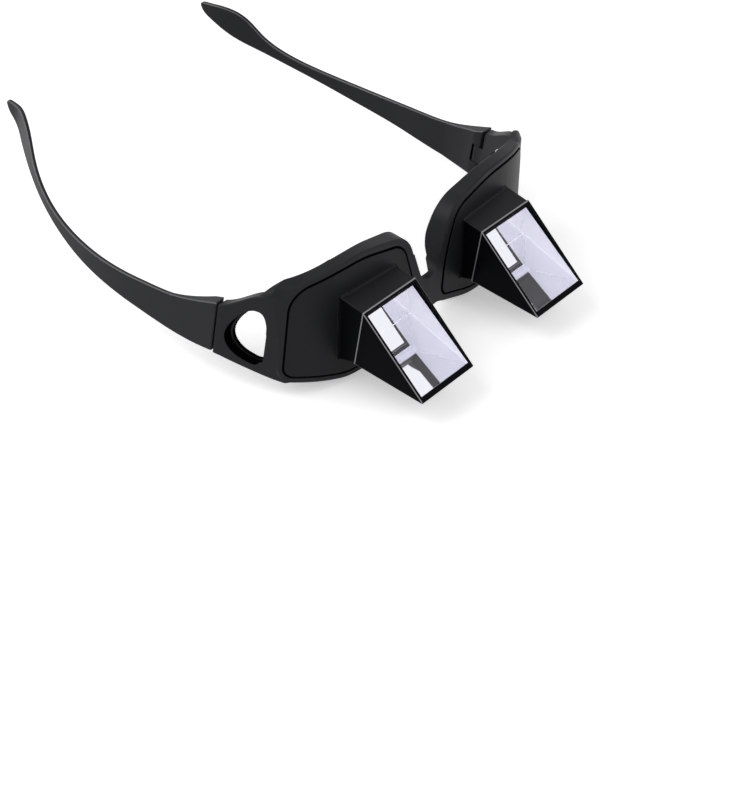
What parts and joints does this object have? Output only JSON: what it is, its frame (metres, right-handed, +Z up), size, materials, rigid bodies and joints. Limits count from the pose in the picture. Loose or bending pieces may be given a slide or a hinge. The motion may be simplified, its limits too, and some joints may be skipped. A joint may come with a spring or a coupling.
{
  "type": "prism bed glasses",
  "caption": "Black plastic prism glasses for reading while lying flat, with a glass wedge in a case before each eye and folding temples.",
  "frame": {"origin": "middle of the whole pair's footprint, on the table it stands on", "axes": "+Z up as the glasses stand in the picture, upside down, so +Z is down when they are worn; -Y ahead of the wearer; +X the wearer's right"},
  "size_m": [0.1518, 0.1784, 0.0452],
  "materials": {
    "frame_plastic": "satin black moulded plastic",
    "cover_plastic": "satin black moulded plastic",
    "case_plastic": "smooth black moulded plastic",
    "optical_glass": "polished, mirror coated on the floor face",
    "screw_steel": "plain"
  },
  "bodies": {
    "frame": {"front_frame": "frame_plastic", "left_eye_cover": "cover_plastic", "right_eye_cover": "cover_plastic", "left_prism_case": "case_plastic", "right_prism_case": "case_plastic", "left_prism": "optical_glass", "right_prism": "optical_glass"},
    "left_arm": {"left_temple": "frame_plastic", "left_hinge_screw": "screw_steel"},
    "right_arm": {"right_temple": "frame_plastic", "right_hinge_screw": "screw_steel"}
  },
  "joints": [
    {"name": "left_temple_fold", "type": "hinge", "parent": "frame", "child": "left_arm", "pos_m": [-0.0725, -0.02385, 0.02099], "axis": [0, 0, -1], "range_deg": [0, 90]},
    {"name": "right_temple_fold", "type": "hinge", "parent": "frame", "child": "right_arm", "pos_m": [0.0725, -0.02385, 0.02099], "axis": [0, 0, 1], "range_deg": [0, 78]}
  ]
}
